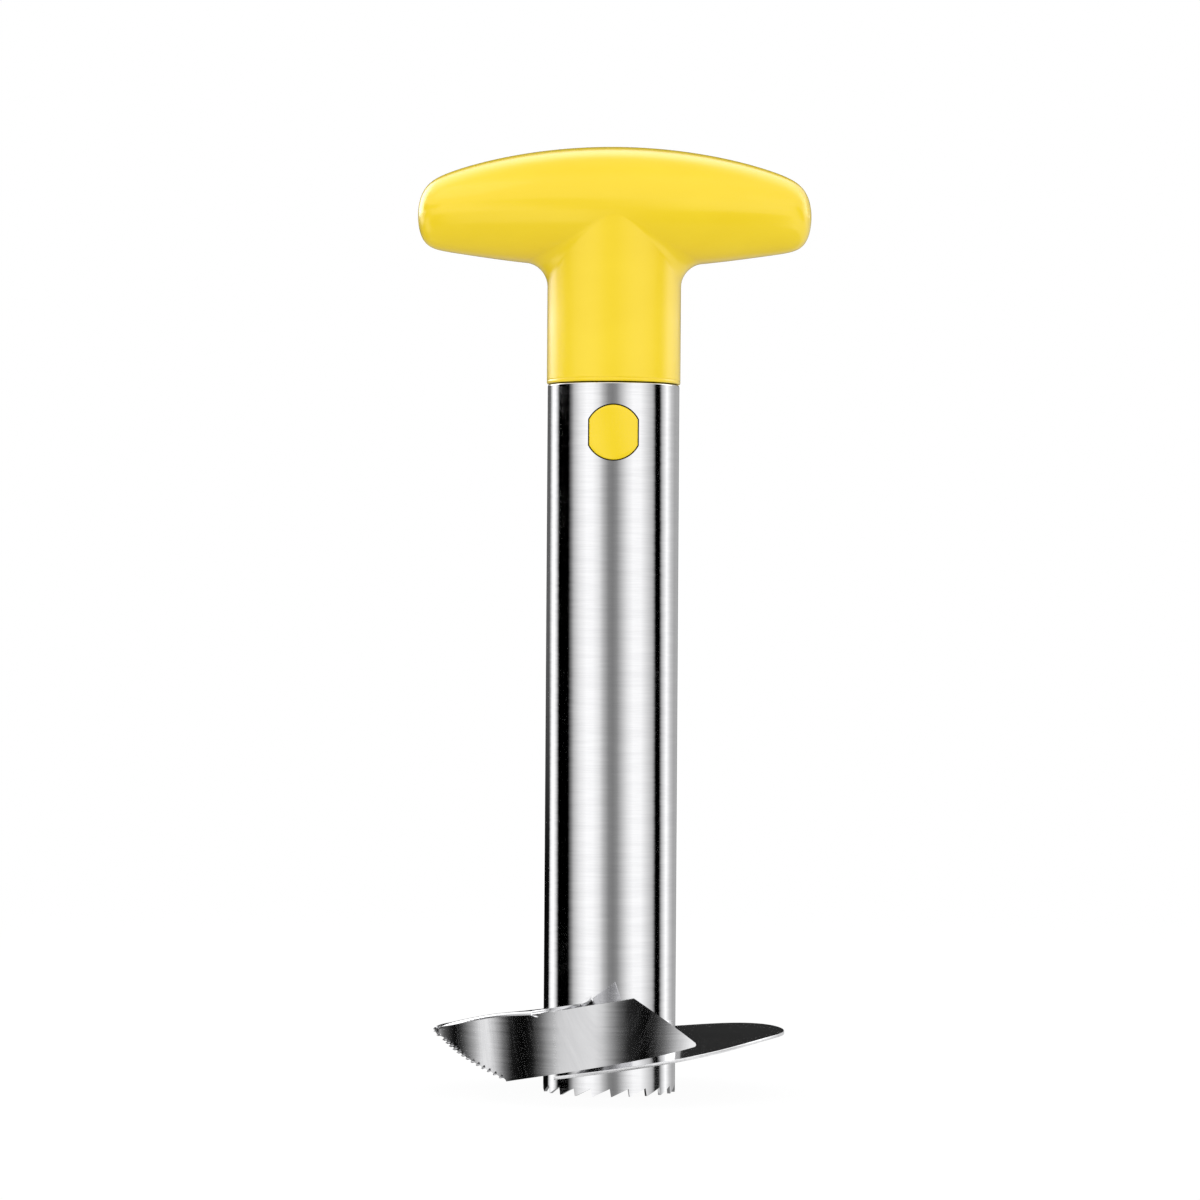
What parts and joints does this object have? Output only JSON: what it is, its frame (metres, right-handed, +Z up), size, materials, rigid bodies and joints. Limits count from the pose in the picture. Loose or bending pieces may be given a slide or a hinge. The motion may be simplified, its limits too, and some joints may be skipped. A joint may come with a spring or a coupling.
{
  "type": "pineapple slicer",
  "caption": "T-handled pineapple corer and slicer: serrated tube with a spiral blade and a folded peel band, under a hollow handle held by push buttons.",
  "frame": {"origin": "on the tube's axis, in the plane of its tooth tips, which is the centre of the bottom of the part's box", "axes": "+Z up along the tube from teeth to handle, X along the handle's bar, +Y away from the front button"},
  "size_m": [0.1002, 0.0888, 0.2401],
  "materials": {
    "handle_plastic": "satin moulded yellow",
    "stem_plastic": "matte moulded black",
    "button_plastic": "satin moulded yellow",
    "spring_steel": "drawn wire",
    "tube_steel": "brushed round the tube",
    "blade_steel": "rolled and lightly brushed sheet"
  },
  "bodies": {
    "slicer": {"corer_tube": "tube_steel", "spiral_blade": "blade_steel", "handle_front_shell": "handle_plastic", "handle_rear_shell": "handle_plastic", "latch_stem": "stem_plastic", "front_button_spring": "spring_steel", "rear_button_spring": "spring_steel"},
    "front_button": {"front_button": "button_plastic"},
    "rear_button": {"rear_button": "button_plastic"}
  },
  "joints": [
    {"name": "front_button_press", "type": "slide", "parent": "slicer", "child": "front_button", "axis": [0, 1, 0], "range_m": [0, 0.003], "stiffness_N_per_m": 800, "springref_m": -0.002, "deforming": ["front_button_spring"]},
    {"name": "rear_button_press", "type": "slide", "parent": "slicer", "child": "rear_button", "axis": [0, -1, 0], "range_m": [0, 0.003], "stiffness_N_per_m": 800, "springref_m": -0.002, "deforming": ["rear_button_spring"]}
  ]
}
